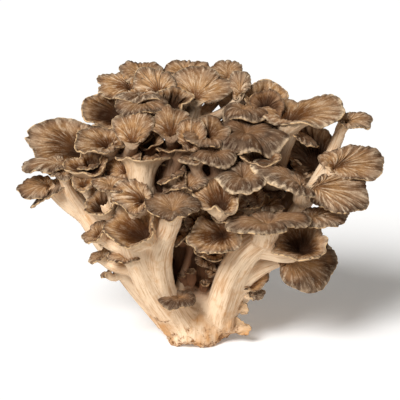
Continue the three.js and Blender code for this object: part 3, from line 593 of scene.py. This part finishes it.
def capMesh(frond):
    around = math.pi * (frond.wide + frond.long)
    reach = max(frond.wide, frond.long)
    coarser = cap["coarser"] if frond.name.startswith(("back", "core")) else 1
    sides = int(np.clip(around / (coarser * cap["turnStep"]), *cap["sides"]))
    count = int(np.clip(reach / (coarser * cap["shareStep"]), *cap["rings"]))
    turn = fullTurn * np.arange(sides) / sides
    share = 1 - (1 - np.linspace(0, 1, count + 1)) ** 1.25
    under, above, relief = capSurfaces(frond, turn, share)

    # a sleeve that runs down over the stem, sinking into it
    steps = np.array([bezier(frond.route, i / 12) for i in range(13)])
    length = np.linalg.norm(np.diff(steps, axis=0), axis=1).sum()
    sleeve = min(cap["neckSleeve"], 0.5 * length)
    rings, alongs, reliefs = [], [], []
    for i in (3, 2, 1):
        back = sleeve * i / 3
        circle = np.cos(turn)[:, None] * frond.neckAhead + np.sin(turn)[:, None] * frond.neckAcross
        rings.append(bezier(frond.route, 1 - back / length) + frond.neck * (1 - 0.05 * i) * circle)
        alongs.append(-back / reach)
        reliefs.append(relief[0])

    # out along the underside, round the edge and back over the upper side
    edge = 0.5 * (under[-1] + above[-1]) + 0.25 * cap["marginThickness"] * unit(above[-1] - above[-2])
    rings += [*under, edge, *above[:0:-1]]
    alongs += [*share, 1.0, *share[:0:-1]]
    reliefs += [*relief, relief[-1], *relief[:0:-1]]
    rows = len(rings)
    foot = bezier(frond.route, 1 - sleeve / length)
    points = np.vstack([*rings, foot, above[0][0]])
    quads, tips = ringFaces(rows, sides)
    underRows = rows - count - 1
    isUnder = np.concatenate([np.arange(len(quads)) // sides < underRows, np.arange(len(tips)) < sides])
    shares = np.concatenate([np.repeat(alongs, sides), [0.0, 0.0]])
    turns = np.concatenate([np.tile(turn, rows), [0.0, 0.0]])
    clipped = np.clip(shares, 0, 1)
    whole = np.ones(len(points))
    return points, quads, tips, isUnder, {
        "share": clipped,
        "fibre": fibreVector(turns, shares * reach, frond.number, clipped),
        # painted shade of the heart of the head, with more for some fronds
        "depth": np.minimum(heartShadeMask(points) + lookOf(frond, "paintedShade", 0), 1),
        # how free each point is of the painted shade of the throat
        "lightness": throatShadeLift(frond, clipped),
        "relief": np.concatenate(reliefs + [[0.0, 0.0]]),
        "tone": lookOf(frond, "tone", draw(frond.number, 21)) * whole,
        "grain": lookOf(frond, "grain", 1) * whole,
        "band": lookOf(frond, "band", 0.25 * draw(frond.number, 24)) * whole}


envelope = {  # how far out the head reaches at each height, mm
    "height": (0, 30, 60, 90, 120, 150),
    "radius": (20, 38, 60, 78, 80, 60),
    "flatten": 1.3,  # it is this much narrower front to back
    "darkens": (0.17, 0.55),  # the painted shade of the heart: from which depth to which, as shares of that reach
    "fromBelow": (14, 36),  # heights between which that fades in, mm
    "fromAbove": (142, 107),
}


def heartShadeMask(points):  # how much painted shade of the heart a point gets: 0 at the outside of the head, 1 in its heart
    x, y, z = points.T
    radius = np.hypot(x, envelope["flatten"] * y)
    depth = 1 - radius / np.interp(z, envelope["height"], envelope["radius"])
    between = ease(fade(z, *envelope["fromBelow"])) * ease(fade(z, *envelope["fromAbove"]))
    return ease(fade(depth, *envelope["darkens"])) * between


fibres = {
    "circle": 8.0,  # radius of the circle on which the fibres of a stem are laid out, mm
    "widening": 5.0,  # how much wider it is at the margin of a cap, mm
    "stretch": 0.09,  # lengthwise measure, as a share of the real one, which draws the fibres out
    "apart": 7.3,  # from one frond's fibres to the next one's, mm
    "patterns": 97,  # before they repeat
}


def fibreVector(angle, along, number, share=0.0):
    # Where a point lies among the fibres: round on a slowly widening circle, and far less along the frond
    circle = fibres["circle"] + fibres["widening"] * share
    lengthwise = fibres["stretch"] * along + fibres["apart"] * (number % fibres["patterns"])
    return np.stack([circle * np.cos(angle), circle * np.sin(angle), lengthwise], axis=1)


def keepInside(points):  # nothing fine stands out past the box of the solids
    low, high = [np.array(corner) / metresPerMm for corner in cadBox]
    return np.clip(points, low, high)


def addPiece(name, mesh, layers=None, materials=()):
    # Puts a mesh into the scene, with its layers of values for the shaders
    for key, values in (layers or {}).items():
        kind, what = ("FLOAT_VECTOR", "vector") if values.ndim == 2 else ("FLOAT", "value")
        layer = mesh.attributes.new(key, kind, "POINT")
        layer.data.foreach_set(what, values.astype(np.float32).ravel())
    for material in materials:
        mesh.materials.append(material)
    piece = bpy.data.objects.new(name, mesh)
    bpy.context.scene.collection.objects.link(piece)
    return piece


def setPoints(mesh, points):
    mesh.vertices.foreach_set("co", (points.astype(np.float32) * metresPerMm).ravel())


def makePiece(name, points, quads, tips, layers=None, materials=(), materialIndex=None):
    mesh = bpy.data.meshes.new(name)
    mesh.vertices.add(len(points))
    setPoints(mesh, points)
    loops = np.concatenate([quads.ravel(), tips.ravel()]).astype(np.int32)
    starts = np.concatenate([4 * np.arange(len(quads)), 4 * len(quads) + 3 * np.arange(len(tips))])
    mesh.loops.add(len(loops))
    mesh.loops.foreach_set("vertex_index", loops)
    mesh.polygons.add(len(starts))
    mesh.polygons.foreach_set("loop_start", starts.astype(np.int32))
    if materialIndex is not None:
        mesh.polygons.foreach_set("material_index", materialIndex.astype(np.int32))
    mesh.polygons.foreach_set("use_smooth", np.ones(len(starts), bool))
    mesh.update(calc_edges=True)
    mesh.validate()
    return addPiece(name, mesh, layers, materials)


stem = {
    "voxel": 1.15,  # mm between points of the joined surface
    "smoothing": 6,  # passes that round the crotches where stems meet
    "swell": 0.3,  # put on before the smoothing takes it off again, mm
    "flute": 0.06,  # depth of the lengthwise folds, share of the radius
    "fibreRelief": 0.13,  # mm
    "branchSides": 24,
    "branchRings": 40,
    "frondSides": 16,
    "frondRings": 22,
}

butt = {
    # height, half-width, and depth as a share of the width
    "profile": [(0, 15, 1.3), (3, 17.5, 1.2), (9, 20.5, 1.02), (18, 22.5, 0.88), (27, 17, 0.85),
                (32, 10, 0.85)],
    "sides": 64,
    "rings": 24,
    "corners": 0.16,  # how far the corners of the cut stand out past a circle, as a share
    "lumps": (0.07, 0.05),  # three broad ones and five smaller ones round it, shares of the radius
    "shift": 2,  # the butt lies this far to the right of its cut, mm
    "crumb": 0.45,  # height of the crumbs, mm
    "crumbsTo": 14,  # how high up the butt they reach, mm
    "cleanTo": 0.4,  # the cut face itself, below this height, has none, mm
    "torn": 2.6,  # how far the torn edge of the cut lifts off the table at most, mm
    "tornTo": 7,  # how high up that is felt, mm
    "tornFrom": (0.6, 0.95),  # it fades in over these shares of the cut's radius
    # where the edge is torn: direction and half-width in degrees, and how much
    "arches": [(-97, 17, 1), (-38, 10, 0.5), (35, 20, 0.7), (95, 14, 0.9), (150, 16, 0.6), (-150, 12, 0.6)],
    "scar": [(-25, -20, 20.5), (-17, -24, 17), (-10, -24, 17.5)],  # a line of dried crumbs in front, mm
    "scarWidth": 1.6,
    "scarHeight": 0.5,
    "scarFollow": 0.35,  # it follows the stems in and out: depth counts this much
}


def tubeRings(centres, radii, side, number, sides):
    angle = fullTurn * np.arange(sides) / sides
    phase = fullTurn * draw(number, 5)
    rings, frames = [], []
    for step, along in enumerate(unit(np.gradient(centres, axis=0))):
        side = unit(side - along * float(along @ side))
        other = np.cross(along, side)
        folds = np.sin(5 * angle + phase + 0.12 * step) + 0.8 * np.sin(3 * angle + 2 * phase)
        reach = (radii[step] + stem["swell"]) * (1 + stem["flute"] * folds)
        circle = np.cos(angle)[:, None] * side + np.sin(angle)[:, None] * other
        rings.append(centres[step] + reach[:, None] * circle)
        frames.append((side, other, along))
    return rings, frames


def closedTube(rings):
    points = np.vstack([*rings, rings[0].mean(0), rings[-1].mean(0)])
    return points, *ringFaces(len(rings), len(rings[0]))


def buttRings():
    angle = fullTurn * np.arange(butt["sides"]) / butt["sides"]
    heights, radii, depths = zip(*butt["profile"])
    rings = []
    for height in np.linspace(0, heights[-1], butt["rings"]):
        level = float(np.interp(height, heights, np.arange(len(heights))))
        amount = min(level, 1)
        corners = 1 + butt["corners"] / (1 + level) * 0.5 * (1 - np.cos(4 * angle))
        broad, fine = butt["lumps"]
        lump = amount * (broad * np.sin(3 * angle + level) + fine * np.sin(5 * angle + 2 * level))
        reach = np.interp(height, heights, radii) * (corners + lump)
        deep = np.interp(height, heights, depths)
        x = butt["shift"] * amount + reach * np.cos(angle)
        rings.append(np.stack([x, deep * reach * np.sin(angle), np.full(len(angle), height)], axis=1))
    return rings


def tearFoot(points):
    # Lifts stretches of the edge of the cut, and gives back how far crumbs stand out of the lowest part
    angle = np.degrees(np.arctan2(points[:, 1], points[:, 0]))
    cutRadius, depth = butt["profile"][0][1:]
    out = np.hypot(points[:, 0], points[:, 1] / depth) / cutRadius
    nearEdge = ease(fade(out, *butt["tornFrom"])) * fade(points[:, 2], butt["tornTo"], 0)
    lift = np.zeros(len(points))
    for middle, halfWidth, amount in butt["arches"]:
        away = (angle - middle + 180) % 360 - 180
        lift += amount * np.exp(-(away / halfWidth) ** 2)
    points[:, 2] += butt["torn"] * lift * nearEdge
    x, y, z = points.T
    rough = np.sin(2.3 * x + 1.7 * z) * np.sin(2.9 * y - 1.3 * x)
    rough = rough + 0.7 * np.sin(4.1 * x - 2.2 * y + 3.1 * z)
    crumbs = butt["crumb"] * rough * fade(z, butt["crumbsTo"], 0)
    points[:, 2] += crumbs * (z > butt["cleanTo"])
    return crumbs


def scarAt(points):  # 1 on the line of dried crumbs, 0 away from it
    best = np.full(len(points), np.inf)
    corners = np.array(butt["scar"], float)
    for a, b in zip(corners, corners[1:]):
        t = np.clip(((points - a) @ (b - a)) / ((b - a) @ (b - a)), 0, 1)
        away = points - a - t[:, None] * (b - a)
        away[:, 1] *= butt["scarFollow"]
        best = np.minimum(best, np.linalg.norm(away, axis=1))
    return np.exp(-(best / butt["scarWidth"]) ** 2)


def makeStems(branches, fronds):
    # Gives the closed tubes, and for each of their rings a row of centre, radius, three directions (two
    # across the stem and one up it), distance up the stem, and the stem's number
    parts = [closedTube(buttRings())]
    axes = [(3, 0, 5, 20, *np.eye(3).ravel(), 0, 0)]  # the butt's, in one

    def addTube(centres, radii, side, number, sides, upwards):  # upwards is -1 for one that runs down
        rings, frames = tubeRings(centres, radii, side, number, sides)
        parts.append(closedTube(rings[::upwards]))
        travelled = upwards * np.cumsum([0, *np.linalg.norm(np.diff(centres, axis=0), axis=1)])
        for centre, radius, (side, other, along), distance in zip(centres, radii, frames, travelled):
            axes.append((*centre, radius, *side, *(upwards * other), *(upwards * along), distance, number))

    for i, branch in enumerate(branches.values()):
        shares = np.linspace(0, 1, stem["branchRings"])
        centres = np.array([branch.pointAt(share) for share in shares])
        radii = [branch.radiusAt(share) for share in shares]
        addTube(centres, radii, np.array([0, 1.0, 0]), i + 500, stem["branchSides"], 1)
    for frond in fronds:  # from the throat down, as the frame of a cap starts at its throat
        shares = np.linspace(0, 1, stem["frondRings"])[::-1]
        centres = np.array([bezier(frond.route, share) for share in shares])
        radii = [frond.rootRadius + (frond.neck - frond.rootRadius) * share for share in shares]
        addTube(centres, radii, frond.neckAhead, frond.number, stem["frondSides"], -1)
    return parts, np.array(axes, float)


def joinParts(parts):
    points, quads, tips, offset = [], [], [], 0
    for some, fours, threes in parts:
        points.append(some)
        quads.append(fours + offset)
        tips.append(threes + offset)
        offset += len(some)
    return np.vstack(points), np.vstack(quads), np.vstack(tips)


def blendTogether(name, points, quads, tips):
    # One skin over all that meets: remeshed to even squares, then smoothed so that crotches are round
    rough = makePiece(name + "_rough", points, quads, tips)
    remesh = rough.modifiers.new("oneSkin", "REMESH")
    remesh.mode = "VOXEL"
    remesh.voxel_size = stem["voxel"] * metresPerMm
    remesh.use_smooth_shade = True
    smooth = rough.modifiers.new("crotches", "SMOOTH")
    smooth.factor = 0.5
    smooth.iterations = stem["smoothing"]
    held = bpy.context.evaluated_depsgraph_get()
    held.update()
    mesh = bpy.data.meshes.new_from_object(rough.evaluated_get(held))
    bpy.data.objects.remove(rough)
    read = np.zeros((2, 3 * len(mesh.vertices)), np.float32)
    mesh.vertices.foreach_get("co", read[0])
    mesh.vertices.foreach_get("normal", read[1])
    points, normals = read.reshape(2, -1, 3)
    return mesh, points / metresPerMm, normals


def nearestAxis(points, axes):
    # The stem that each point belongs to: the centreline whose skin is nearest
    centres, radii = axes[:, :3].astype(np.float32), axes[:, 3].astype(np.float32)
    atOnce = 4000  # points, to spare memory
    best = []
    for low in range(0, len(points), atOnce):
        some = points[low:low + atOnce].astype(np.float32)
        square = (some ** 2).sum(1)[:, None] + (centres ** 2).sum(1) - 2 * some @ centres.T
        best.append(np.argmin(np.sqrt(np.maximum(square, 0)) - radii, axis=1))
    return np.concatenate(best)


def finishStems(name, parts, axes, material):
    mesh, points, normals = blendTogether(name, *joinParts(parts))
    nearest = axes[nearestAxis(points, axes)]
    centre, side, other, upward = [nearest[:, first:first + 3] for first in (0, 4, 7, 10)]
    along, number = nearest[:, 13], nearest[:, 14]
    offset = points - centre
    angle = np.arctan2((offset * other).sum(1), (offset * side).sum(1))
    along = along + (offset * upward).sum(1)

    # fibres, then the torn and crumbly foot and the scar
    relief = np.sin(13 * angle + number + 0.03 * along)
    relief = relief + 0.7 * np.sin(23 * angle + 2 * number - 0.05 * along)
    points = points + normals * (stem["fibreRelief"] * relief)[:, None]
    points[:, 2] = np.maximum(points[:, 2], 0)
    scar = scarAt(points)
    crumbs = np.abs(tearFoot(points)) * (points[:, 2] > butt["cleanTo"])
    beads = 0.5 + 0.5 * np.sin(5 * points[:, 0] + 3 * points[:, 2])
    points = points + normals * (crumbs + butt["scarHeight"] * scar * beads)[:, None]
    points[:, 2] = np.maximum(points[:, 2], 0)
    setPoints(mesh, points)
    mesh.polygons.foreach_set("use_smooth", np.ones(len(mesh.polygons), bool))
    mesh.update()
    mesh.materials.clear()
    # depth is how much painted shade of the heart of the head the flesh gets
    layers = {"fibre": fibreVector(angle, along, number), "share": np.zeros(len(points)),
              "depth": heartShadeMask(points), "scar": scar}
    return addPiece(name, mesh, layers, [material])


def linear(hexColour):  # sRGB hex to the linear colour that a shader takes
    channels = [int(hexColour[i:i + 2], 16) / 255 for i in (1, 3, 5)]
    return tuple(c / 12.92 if c <= 0.04045 else ((c + 0.055) / 1.055) ** 2.4 for c in channels) + (1.0,)


def addNode(tree, kind, *values, give=None, **named):
    # Adds a node and gives back its first output, or the one named by give. Values go to its inputs in
    # order, and a name is one of the node's own settings or an input. Another node's output is linked.
    node = tree.nodes.new("ShaderNode" + kind)
    for name in [name for name in named if hasattr(node, name)]:
        setattr(node, name, named.pop(name))
    inputs = [socket for socket in node.inputs if socket.enabled]
    byName = [(node.inputs[name.replace("_", " ")], value) for name, value in named.items()]
    for socket, value in [*zip(inputs, values), *byName]:
        if isinstance(value, bpy.types.NodeSocket):
            tree.links.new(value, socket)
        else:
            socket.default_value = value
    outputs = [socket for socket in node.outputs if socket.enabled and give in (None, socket.name)]
    return outputs[0] if outputs else None


def startMaterial(name):
    material = bpy.data.materials.new(name)
    material.use_nodes = True
    material.node_tree.nodes.clear()
    return material, material.node_tree


def setRamp(ramp, stops):
    while len(ramp.elements) > 1:
        ramp.elements.remove(ramp.elements[-1])
    ramp.elements[0].position, ramp.elements[0].color = stops[0]
    for position, colour in stops[1:]:
        ramp.elements.new(position).color = colour


def layOver(tree, colour, look, layers):
    # Lays colours over one another. Each layer: its name in the look, the value that it follows, and
    # further values that thin it out
    for name, value, *factors in layers:
        shade, *spread = look[name]
        amount = addNode(tree, "MapRange", value, *spread)
        for factor in factors:
            amount = addNode(tree, "Math", amount, factor, operation="MULTIPLY")
        colour = addNode(tree, "Mix", amount, colour, linear(shade), data_type="RGBA")
    return colour


def finishMaterial(tree, look, colour, depth, height):
    # Painted shade: darker in the heart of the head, where the fronds shade one another; and then the
    # surface itself
    shade, most = look["paintedShade"]
    amount = addNode(tree, "Math", depth, most, operation="MULTIPLY")
    colour = addNode(tree, "Mix", amount, colour, linear(shade), data_type="RGBA", blend_type="MULTIPLY")
    strength, deep = look["bump"]
    bump = addNode(tree, "Bump", Height=height, Strength=strength, Distance=deep * metresPerMm)
    shader = addNode(tree, "BsdfPrincipled", Base_Color=colour, Normal=bump, Roughness=look["roughness"],
                     IOR=look["ior"], Specular_IOR_Level=look["specular"])
    addNode(tree, "OutputMaterial", Surface=shader)


capSkin = {
    # dry, finely felted skin of the upper side: nearly black in the throat, partly a darker brown and mostly
    # painted shade, tan and streaked over the fan, grey-brown by the margin, with painted highlights along
    # the ridges
    "zones": [  # from throat to margin: where, and the colour of a light and of a dark cap; the two darkest are mostly painted shade
        (0.05, "#3d200a", "#2d1808"),
        (0.34, "#6f431d", "#573618"),
        (0.62, "#ab8052", "#866341"),
        (0.86, "#876445", "#6f5139"),
        (0.97, "#432c1c", "#3a271a"),
    ],
    # colours laid over that, each with the values between which it fades in
    "paleFibreAndHighlight": ("#f2dabb", 0.79, 1.06),  # pale fibres, and painted highlights on the crests
    "darkFibreAndShade": ("#371f0f", 0.76, 0.5),  # dark fibres, and painted shade in furrows and creases
    "dust": ("#ccae8e", 0.8, 1.05),  # a thin pale dust that lies in patches towards the margin
    "band": ("#e0c5a2", 0.9, 0.96),  # the outer band of some fronds
    "edge": ("#cba87c", 0.985, 0.999),  # the worn edge itself
    "paintedShade": ("#85582c", 0.45),  # painted shade, multiplied in, this much in the heart of the head
    # shifts of one value by another: from, to, and what those become
    "steadier": (0.6, 1.0, 1.0, 0.2),  # the zones wander less towards the margin
    "streaked": (0.1, 0.5, 0.1, 0.7),  # crests and furrows show less in the throat
    "dustier": (0.4, 0.95, 0.0, 0.4),
    "bandBreaks": (0.38, 0.62, 0.15, 1.0),
    "edgeBreaks": (0.4, 0.6),
    "wander": 0.6,  # how far blotches move the zones in and out
    "muted": -0.55,  # how much less a dark cap's crests stand out
    "raised": (0.11, 0.3, 0.3),  # how much the relief (as painted light and shade), the breaks and the felt add to the streaks
    "dustBlotches": 0.7,
    "bandScallops": 0.03,
    "feltBump": 0.2,
    # spacing in mm, detail and roughness of the pale fibres and of the streaks of dust; real fibres are
    # nearer 0.3 mm apart, too fine to show
    "streaks": [(1.1, 5, 0.62), (2.5, 5, 0.7)],
    # size in mm and detail of the blotches, the breaks and the felt; real felt is too fine to show
    "spots": [(9.0909, 3), (2.38095, 3), (0.625, 2)],
    "bump": (0.55, 0.8),  # strength, and depth in mm
    "roughness": 0.72,
    "ior": 1.4,
    "specular": 0.16,  # dry felt shines less than its IOR alone would have it
}


def makeCapSkin():
    material, tree = startMaterial("capSkin_feltedMaitakeCuticle")
    share, lightness, relief, tone, band, depth, grain = [
        addNode(tree, "Attribute", attribute_name=name, give="Fac")
        for name in ("share", "lightness", "relief", "tone", "band", "depth", "grain")]
    fibre = addNode(tree, "Attribute", attribute_name="fibre", give="Vector")
    place = addNode(tree, "TexCoord", give="Object")
    blotch, broken, felt = [
        addNode(tree, "TexNoise", Vector=place, Scale=1 / (mm * metresPerMm), Detail=detail)
        for mm, detail in capSkin["spots"]]
    streaks, dust = [
        addNode(tree, "TexNoise", Vector=fibre, Scale=1 / mm, Detail=detail, Roughness=rough)
        for mm, detail, rough in capSkin["streaks"]]

    # zones from throat to margin, moved in and out by the blotches so that they are uneven; the dark throat
    # is mostly painted shade
    wander = capSkin["wander"]
    shift = addNode(tree, "Math", blotch, wander, -wander / 2, operation="MULTIPLY_ADD")
    steadier = addNode(tree, "MapRange", share, *capSkin["steadier"])
    moved = addNode(tree, "Math", shift, steadier, lightness, operation="MULTIPLY_ADD")
    colours = []
    for column in (1, 2):
        colours.append(addNode(tree, "ValToRGB", moved))
        stops = [(zone[0], linear(zone[column])) for zone in capSkin["zones"]]
        setRamp(colours[-1].node.color_ramp, stops)
    colour = addNode(tree, "Mix", tone, *colours, data_type="RGBA")

    # what stands out, and where it shows: pale fibres and painted highlights on crests, dark fibres and
    # painted shade in furrows and creases
    raised = streaks
    for value, amount in zip((relief, broken, felt), capSkin["raised"]):
        raised = addNode(tree, "Math", value, amount, raised, operation="MULTIPLY_ADD")
    streaked = addNode(tree, "MapRange", lightness, *capSkin["streaked"])
    streaked = addNode(tree, "Math", streaked, grain, operation="MULTIPLY")
    muted = addNode(tree, "Math", tone, capSkin["muted"], 1, operation="MULTIPLY_ADD")
    dust = addNode(tree, "Math", blotch, capSkin["dustBlotches"], dust, operation="MULTIPLY_ADD")
    dustier = addNode(tree, "MapRange", share, *capSkin["dustier"])
    scalloped = addNode(tree, "Math", relief, capSkin["bandScallops"], share, operation="MULTIPLY_ADD")
    bandBreaks = addNode(tree, "MapRange", broken, *capSkin["bandBreaks"])
    edgeBreaks = addNode(tree, "MapRange", broken, *capSkin["edgeBreaks"])
    colour = layOver(tree, colour, capSkin, [
        ("paleFibreAndHighlight", raised, muted, streaked), ("darkFibreAndShade", raised, streaked), ("dust", dust, dustier, grain),
        ("band", scalloped, band, bandBreaks), ("edge", share, edgeBreaks)])
    height = addNode(tree, "Math", felt, capSkin["feltBump"], streaks, operation="MULTIPLY_ADD")
    finishMaterial(tree, capSkin, colour, depth, height)
    return material


stemFlesh = {
    # firm white flesh with a thin fibrous rind, as torn and dried a little: cream with tan streaks along it
    "cream": "#e0c5a5",
    # colours laid over that, each with the values between which it fades in, and how far
    "tan": ("#b98a5c", 0.76, 0.98, 0, 0.7),
    "fibre": ("#9a6c3f", 0.53, 0.7, 0, 0.4),
    "underMargin": ("#b49673", 0.05, 0.8, 0, 0.75),  # the underside of a cap, towards its margin
    "rust": ("#b9803f", 0.56, 0.74, 0, 0.65),  # patches on the butt, where it grew out of the ground
    "crumb": ("#7a4f27", 0.68, 0.8),  # crumbs of that ground
    "paintedShade": ("#66401a", 0.95),  # painted shade, multiplied in, this much in the heart of the head
    "soiledTo": 22,  # how high up the butt rust and crumbs reach, mm
    "tanPatches": 0.6,  # how much the patches add to the streaks
    "rustLow": 0.16,  # how much more rust there is at the foot
    "crumbLow": 0.24,
    "poreBump": 0.3,
    # spacing in mm, detail and roughness of the tan streaks and of the brown fibres; real fibres are nearer
    # 0.3 mm apart, too fine to show
    "streaks": [(1.6, 6, 0.65), (0.8, 3, 0.55)],
    # size in mm, detail and roughness of patches, pores, stains and crumbs; real pores are too fine to show
    "spots": [(14.2857, 4, 0.5), (0.66667, 1, 0.5), (10.5263, 4, 0.6), (3.33333, 5, 0.7)],
    "bump": (0.45, 0.7),  # strength, and depth in mm
    "roughness": 0.7,
    "ior": 1.4,
    "specular": 0.35,
}


def makeStemFlesh():
    material, tree = startMaterial("stemFlesh_fibrousMaitakeFlesh")
    share, depth, scar = [addNode(tree, "Attribute", attribute_name=name, give="Fac")
                          for name in ("share", "depth", "scar")]
    fibre = addNode(tree, "Attribute", attribute_name="fibre", give="Vector")
    place = addNode(tree, "TexCoord", give="Object")
    patches, pores, stains, grains = [
        addNode(tree, "TexNoise", Vector=place, Scale=1 / (mm * metresPerMm), Detail=detail, Roughness=rough)
        for mm, detail, rough in stemFlesh["spots"]]
    streaks, lines = [
        addNode(tree, "TexNoise", Vector=fibre, Scale=1 / mm, Detail=detail, Roughness=rough)
        for mm, detail, rough in stemFlesh["streaks"]]

    # tan where patches and streaks meet, and soil at the foot and along the scar
    mixed = addNode(tree, "Math", patches, stemFlesh["tanPatches"], streaks, operation="MULTIPLY_ADD")
    height = addNode(tree, "SeparateXYZ", place, give="Z")
    low = addNode(tree, "MapRange", height, stemFlesh["soiledTo"] * metresPerMm, 0)
    stained = addNode(tree, "Math", low, stemFlesh["rustLow"], stains, operation="MULTIPLY_ADD")
    dirty = addNode(tree, "Math", low, scar, operation="MAXIMUM")
    crumbs = addNode(tree, "Math", dirty, stemFlesh["crumbLow"], grains, operation="MULTIPLY_ADD")
    colour = layOver(tree, linear(stemFlesh["cream"]), stemFlesh, [
        ("tan", mixed), ("fibre", lines), ("underMargin", share), ("rust", stained), ("crumb", crumbs)])
    bumps = addNode(tree, "Math", pores, stemFlesh["poreBump"], streaks, operation="MULTIPLY_ADD")
    finishMaterial(tree, stemFlesh, colour, depth, bumps)
    return material


studio = {
    "elevation": 14,  # of the camera, degrees above level
    "distance": 0.9,  # metres, as are the next three
    "aim": (0.0036, 0.0, 0.0791),
    "widthSeen": 0.22,  # across the picture at the aim point
    "floorReach": 4,
    "sensor": 36,  # mm
    "sky": "#fff9f2",
    "skyStrength": 0.15,
    "keyStrength": 4.2,
    "keyTurn": (52, 0, -30),  # degrees, from straight down
    "keyAngle": 25,  # degrees across, so that shadows are soft
    "floorGrey": (0.9, 0.93),  # a matt paper sweep, which is a little uneven
    "floorGrain": 40,
    "floorRoughness": 0.9,
    "glow": "#fffdf9",
    "glowStrength": 0.17,  # a light table under the sweep, which lifts the shadows
}


def makeFloorMaterial():
    material, tree = startMaterial("floor_paperSweep")
    grain = addNode(tree, "TexNoise", Scale=studio["floorGrain"])
    low, high = studio["floorGrey"]
    colour = addNode(tree, "MapRange", grain, To_Min=low, To_Max=high)
    shader = addNode(tree, "BsdfPrincipled", Base_Color=colour, Roughness=studio["floorRoughness"],
                     Emission_Color=linear(studio["glow"]), Emission_Strength=studio["glowStrength"])
    addNode(tree, "OutputMaterial", Surface=shader)
    return material


def makeStudio():
    scene = bpy.context.scene
    lean = math.radians(studio["elevation"])
    camera = bpy.data.objects.new("camera", bpy.data.cameras.new("camera"))
    x, y, z = studio["aim"]
    camera.location = (x, y - studio["distance"] * math.cos(lean), z + studio["distance"] * math.sin(lean))
    camera.rotation_euler = (math.pi / 2 - lean, 0, 0)
    camera.data.sensor_width = studio["sensor"]
    camera.data.lens = studio["sensor"] * studio["distance"] / studio["widthSeen"]
    scene.collection.objects.link(camera)
    scene.camera = camera

    scene.world = bpy.data.worlds.new("studio")
    scene.world.use_nodes = True
    sky = scene.world.node_tree.nodes["Background"]
    sky.inputs["Color"].default_value = linear(studio["sky"])
    sky.inputs["Strength"].default_value = studio["skyStrength"]
    key = bpy.data.objects.new("key", bpy.data.lights.new("key", "SUN"))
    key.data.energy = studio["keyStrength"]
    key.data.angle = math.radians(studio["keyAngle"])
    key.rotation_euler = [math.radians(angle) for angle in studio["keyTurn"]]
    scene.collection.objects.link(key)
    scene.view_settings.view_transform = "Standard"

    reach = studio["floorReach"] / metresPerMm
    corners = np.array([(-reach, -reach, 0), (reach, -reach, 0), (reach, reach, 0), (-reach, reach, 0)])
    noTips = np.zeros((0, 3), int)
    floor = makePiece("floor", corners, np.arange(4)[None], noTips, materials=[makeFloorMaterial()])


makeStudio()
print("studio made")

for tierSet in tierSets:
    addTiers(tierSet)
for branchName, row in deepRows:
    frondRows[branchName].append(row)
branches = {name: openBranch(rows) for name, rows in branchRoutes.items()}
fronds = []
for order, branchName in enumerate(branchRoutes):
    for i, row in enumerate(frondRows[branchName]):
        fronds.append(openFrond(row, 20 * order + i + 1, branches[branchName], f"{branchName}_{i + 1}"))
print(len(fronds), "fronds laid out")

skinMaterial = makeCapSkin()
fleshMaterial = makeStemFlesh()
print("materials made")

triangles = 0
for frond in fronds:
    points, quads, tips, isUnder, layers = capMesh(frond)
    piece = makePiece("frond_" + frond.name, keepInside(points), quads, tips, layers,
                      [skinMaterial, fleshMaterial], isUnder)
    triangles += 2 * len(quads) + len(tips)
    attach(piece, "root")
    node = "cap_" + frond.name
    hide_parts(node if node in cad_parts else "stems")
print(triangles, "triangles in the caps")

parts, axes = makeStems(branches, fronds)
stems = finishStems("stems_and_butt", parts, axes, fleshMaterial)
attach(stems, "root")
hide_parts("stems")
print(2 * len(stems.data.polygons), "triangles in the stems")
